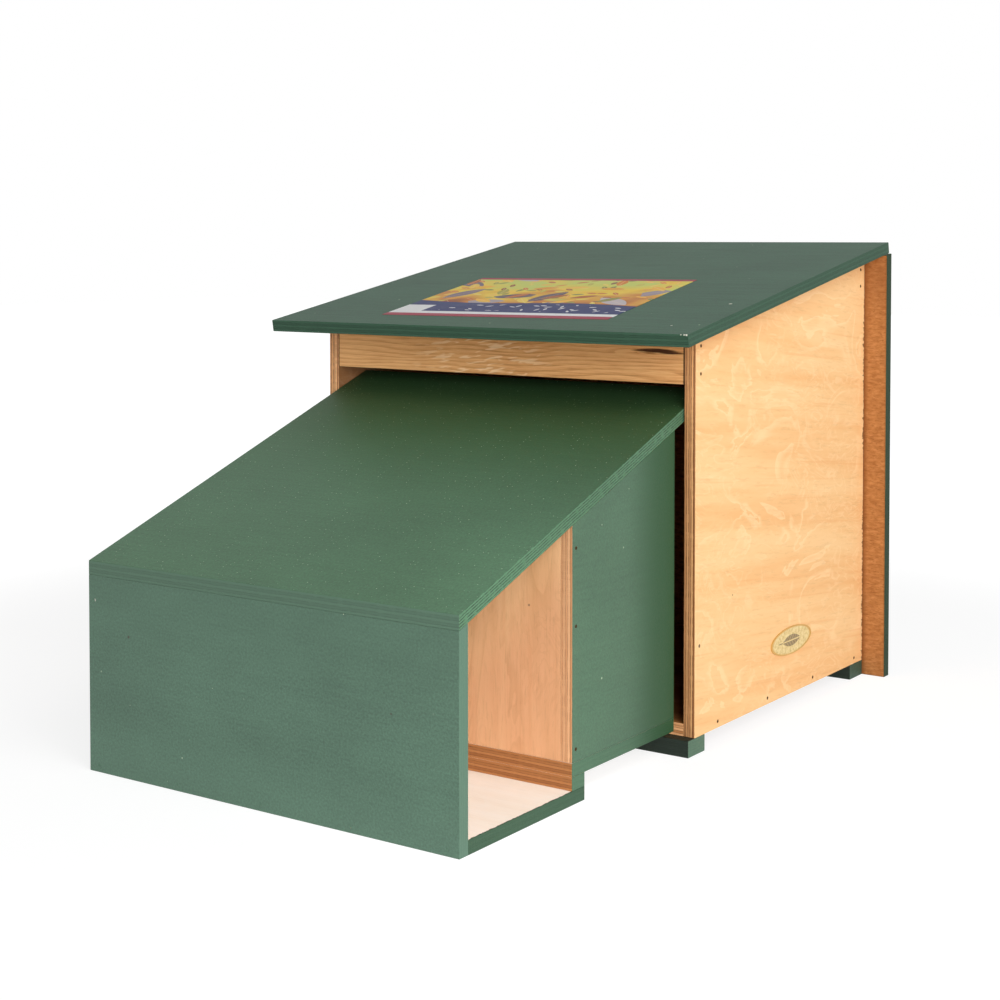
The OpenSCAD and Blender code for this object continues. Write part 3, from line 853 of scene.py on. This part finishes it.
f = new_finish("side_badge_finish")
e = from_the_middle(f, "side_badge", Y)
h = from_the_middle(f, "side_badge", Z)
mottle = f.noise(f.point(f.times(e, 260.0), f.times(h, 260.0), 3.0), detail=4.0, rough=0.7)
colour = f.tint(mottle, (0.32, (0.50, 0.33, 0.09)), (0.5, (0.74, 0.56, 0.24)), (0.7, (0.84, 0.68, 0.36)))
oval = f.sum(f.times(e, e, 1 / OVAL_HALF[0] ** 2), f.times(h, h, 1 / OVAL_HALF[1] ** 2))
colour = f.blend(f.rise(oval, 0.80, 0.86), colour, RIM_BROWN)
half_width = f.times(f.rest(f.times(e, e, 1 / LEAF_HALF[0] ** 2)), LEAF_HALF[1])
from_rib = f.away(h)
inside = f.rise(f.math("SUBTRACT", half_width, from_rib), 0.0, 0.0003)
barb = f.math("FRACT", f.times(f.sum(e, f.times(from_rib, -0.9)), 1 / VEIN_SPACING))
side_vein = f.times(f.rise(barb, 0.16, 0.08), 0.7)
vein = f.larger(f.rise(from_rib, 0.0008, 0.0004), side_vein)
stalk = f.times(f.rise(from_rib, 0.0007, 0.0004), f.rise(e, -0.0200, -0.0205),
                f.rise(e, -0.0285, -0.0280))
drawn = f.larger(f.times(inside, f.rest(vein)), stalk)
colour = f.blend(f.times(drawn, 0.8), colour, LEAF_BROWN)
put_on("side_badge", f.surface(colour, f.sum(0.35, f.times(mottle, 0.15)), mottle, bump=0.0001, shine=0.5))
print("badge done")

# %% [markdown]
# ## Nails
# The nail heads are dull dark steel, driven flush and already a little rusty.
# Fine noise gives them their oxide skin.
# Those in the porch's front wall went in before the last coat, so they are painted over.

# %% Nail finish
RUST_DARK = (0.026, 0.010, 0.003)
RUST_LIGHT = (0.085, 0.036, 0.012)
PAINTED_HEAD = tuple(part + 0.03 for part in FRONT_GREEN)
OXIDE_GRAIN = (1800.0, 1800.0, 1800.0)

f = new_finish("nail_finish")
fine = f.node("VectorMath", (f.place(), OXIDE_GRAIN), operation="MULTIPLY")
skin = f.noise(fine, detail=3.0, rough=0.6)
painted_over = f.rise(f.reach(f.place(), Y), -0.371, -0.3725)
colour = f.tint(skin, (0.3, RUST_DARK), (0.75, RUST_LIGHT))
colour = f.blend(f.times(painted_over, 0.95), colour, PAINTED_HEAD)
nail_steel = f.surface(colour, f.sum(0.6, f.times(skin, 0.3)), skin, bump=0.0001, shine=0.05)
put_on("house_nails", nail_steel)
put_on("porch_nails", nail_steel)
print("nails done")

# %% [markdown]
# ## Eased arrises
# No sawn board has razor corners: sanding and paint round them a little,
# and that thin round is what catches the light along every edge of the photograph.
# The bevel is a modifier, so the board's own mesh stays as the construction made it.
# First the small triangles of each flat face are merged, so that the bevel meets clean edges.
# At the end the corners' shading is weighed by area, which keeps the large faces flat.

# %% Bevels
UNBEVELLED = ("house_nails", "porch_nails", "lid_sheet", "side_badge")
ARRIS = 0.0005


def ease(piece):
    weld = piece.modifiers.new("weld", "WELD")
    weld.merge_threshold = 0.00001
    clean = piece.modifiers.new("one_face_per_plane", "DECIMATE")
    clean.decimate_type = "DISSOLVE"
    clean.angle_limit = math.radians(1)
    round_over = piece.modifiers.new("arris", "BEVEL")
    round_over.width = ARRIS
    round_over.segments = 2
    round_over.limit_method = "ANGLE"
    round_over.angle_limit = math.radians(40)
    round_over.use_clamp_overlap = False
    flat = piece.modifiers.new("flat_faces", "WEIGHTED_NORMAL")
    flat.mode = "FACE_AREA"
    flat.weight = 100


sawn = [name for name in boards if name not in UNBEVELLED]
for name in sawn:
    ease(boards[name])
print("eased", len(sawn), "boards")

# %% [markdown]
# ## Floor and backdrop
# The studio is plain white paper. It has two faces: lamps and bounced light meet a matt pale floor,
# while the camera meets a glowing white one, on which the house still casts a soft shadow.
# So the white costs the house no extra light. Further out the glow grows to full white,
# so the floor runs into the backdrop without a line.

# %% Floor
HALF_FLOOR = 9
WHITE = (1.0, 1.0, 1.0, 1.0)

corners = [(-HALF_FLOOR, -HALF_FLOOR, 0), (HALF_FLOOR, -HALF_FLOOR, 0),
           (HALF_FLOOR, HALF_FLOOR, 0), (-HALF_FLOOR, HALF_FLOOR, 0)]
floor_mesh = bpy.data.meshes.new("studio_floor")
floor_mesh.from_pydata(corners, [], [(0, 1, 2, 3)])
floor = bpy.data.objects.new("studio_floor", floor_mesh)
bpy.context.scene.collection.objects.link(floor)


def seen_directly(f):
    ray = f.node("LightPath").node.outputs
    either = f.larger(ray["Is Camera Ray"], ray["Is Glossy Ray"])
    return f.larger(either, ray["Is Transmission Ray"])


f = new_finish("studio_paper")
far = f.node("VectorMath", (f.place(),), out=1, operation="LENGTH")
strength = f.sum(0.80, f.times(f.rise(far, 0.7, 1.5), 0.20))
matt = f.node("BsdfDiffuse", ((0.88, 0.88, 0.88, 1.0),))
shadow_catching = f.node("BsdfDiffuse", ((0.30, 0.30, 0.30, 1.0),))
glow = f.node("Emission", (WHITE, strength))
shown = f.node("AddShader", (shadow_catching, glow))
f.node("OutputMaterial", (f.node("MixShader", (seen_directly(f), matt, shown)),))
floor_mesh.materials.append(f.owner)
print("floor is", 2 * HALF_FLOOR, "m wide")

# %% [markdown]
# ## World
# The world works like the floor: a soft quarter light for the house, and plain white to look at.
# It fills the shadows from all round, as the white walls of a studio do.

# %% World
SOFT_LIGHT = 0.25

world = bpy.data.worlds.new("studio")
bpy.context.scene.world = world
f = Formula(world)
soft = f.node("Background", (WHITE, SOFT_LIGHT))
white = f.node("Background", (WHITE, 1.0))
f.node("OutputWorld", (f.node("MixShader", (seen_directly(f), soft, white)),))
print("world light", SOFT_LIGHT)

# %% [markdown]
# ## Lamps
# Three softboxes make the plain studio light. The key stands low at the right and gives the side
# its warmth, the high one lights the slopes, and the weak one from the left keeps the front wall
# readable.
# Large lamps are used because small ones would draw hard shadows that the photograph doesn't have.
# The corridor floor lies deep in the porch, where none of them reaches. A spotlight with a snoot,
# which is a narrow tube over the lamp, puts its small patch of light through the entrance.

# %% Lamps
HOUSE_MIDDLE = Vector((0.0, 0.0, 0.2))
CORRIDOR = Vector((0.15, -0.272, 0.012))


def hang(name, lamp, place, target):
    made = bpy.data.objects.new(name, lamp)
    made.location = place
    made.rotation_euler = (target - Vector(place)).to_track_quat("-Z", "Y").to_euler()
    bpy.context.scene.collection.objects.link(made)


def softbox(name, place, size, power):
    lamp = bpy.data.lights.new(name, "AREA")
    lamp.shape = "SQUARE"
    lamp.size = size
    lamp.energy = power
    hang(name, lamp, place, HOUSE_MIDDLE)


softbox("key", (2.5, -2.1, 0.9), 1.8, 80.0)
softbox("right_high", (2.1, -0.7, 2.25), 1.4, 27.0)
softbox("front_left", (-1.2, -3.2, 0.9), 1.6, 12.0)
snoot = bpy.data.lights.new("entrance_snoot", "SPOT")
snoot.energy = 55.0
snoot.spot_size = math.radians(9.5)
snoot.spot_blend = 0.6
snoot.shadow_soft_size = 0.05
hang("entrance_snoot", snoot, (1.40, -0.62, 1.45), CORRIDOR)
print("lamps hung:", ", ".join(lamp.name for lamp in bpy.data.lights))

# %% [markdown]
# ## Size note
# Looks must not change the size.

# %% [markdown]
# ## Finish
